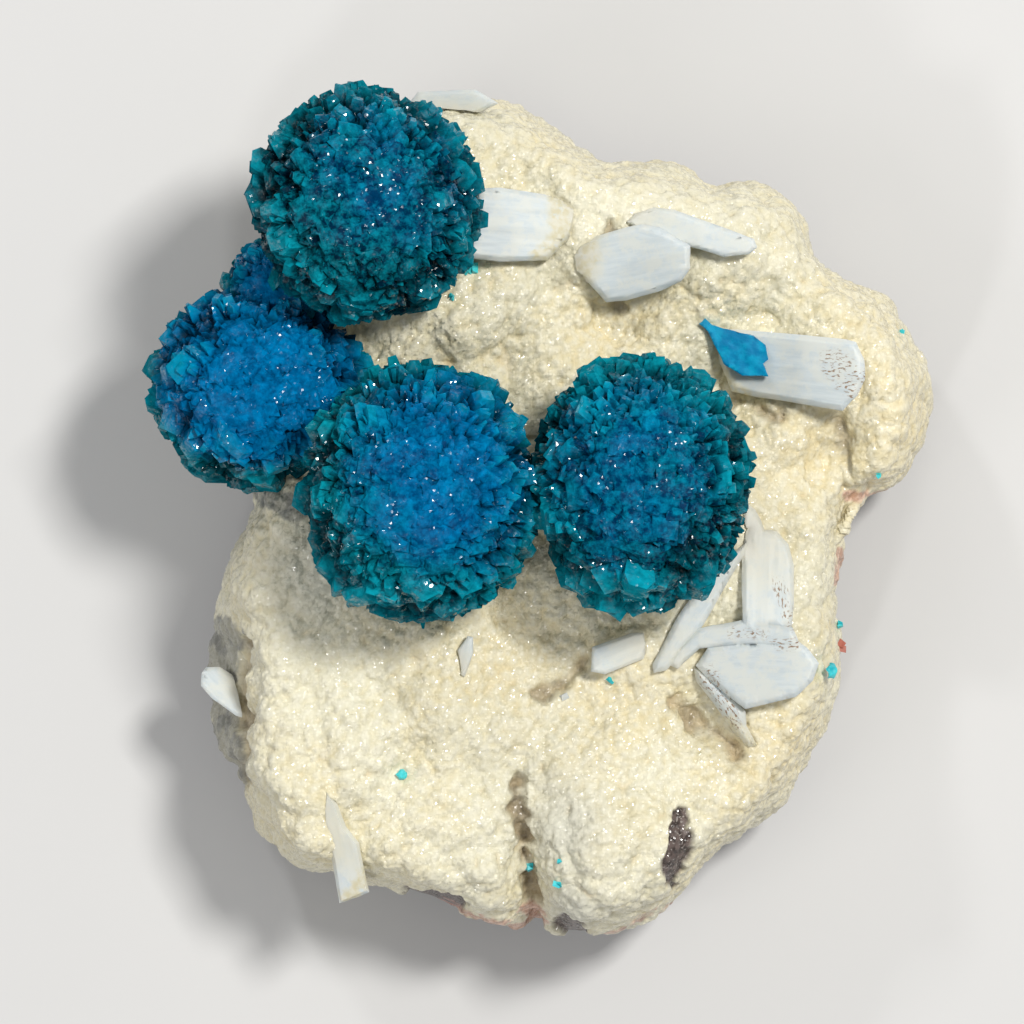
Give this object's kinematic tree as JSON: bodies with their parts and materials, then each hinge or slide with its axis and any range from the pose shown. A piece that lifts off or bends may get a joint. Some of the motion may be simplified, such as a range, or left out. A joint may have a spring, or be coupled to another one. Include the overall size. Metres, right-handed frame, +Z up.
{
  "type": "cavansite specimen on matrix",
  "caption": "Loose mineral specimen: spiky blue cavansite balls and pale stilbite blades grown on a lumpy, sugary white zeolite crust, lying on its flat broken base.",
  "frame": {"origin": "on the flat base, under the middle of the whole specimen", "axes": "+Z up, away from the broken base, through the face that carries the crystals; +Y towards the end with the upper ball; +X towards the lobe with the single large stilbite blade"},
  "size_m": [0.0552, 0.0599, 0.0317],
  "materials": {
    "crust": "satin",
    "cavansite": "gloss",
    "cavansite_flake": "satin",
    "stilbite": "satin"
  },
  "bodies": {
    "root": {"matrix": "crust", "cavansite_upper": "cavansite", "cavansite_left": "cavansite", "cavansite_centre": "cavansite", "cavansite_right": "cavansite", "cavansite_flake": "cavansite_flake", "cavansite_speck_right": "cavansite_flake", "cavansite_speck_lower": "cavansite_flake", "stilbite_top_edge": "stilbite", "stilbite_beside_ball": "stilbite", "stilbite_upper_pair": "stilbite", "stilbite_right": "stilbite", "stilbite_cluster": "stilbite", "stilbite_small_block": "stilbite", "stilbite_small_point": "stilbite", "stilbite_left_side": "stilbite", "stilbite_lower_left": "stilbite"}
  },
  "joints": []
}
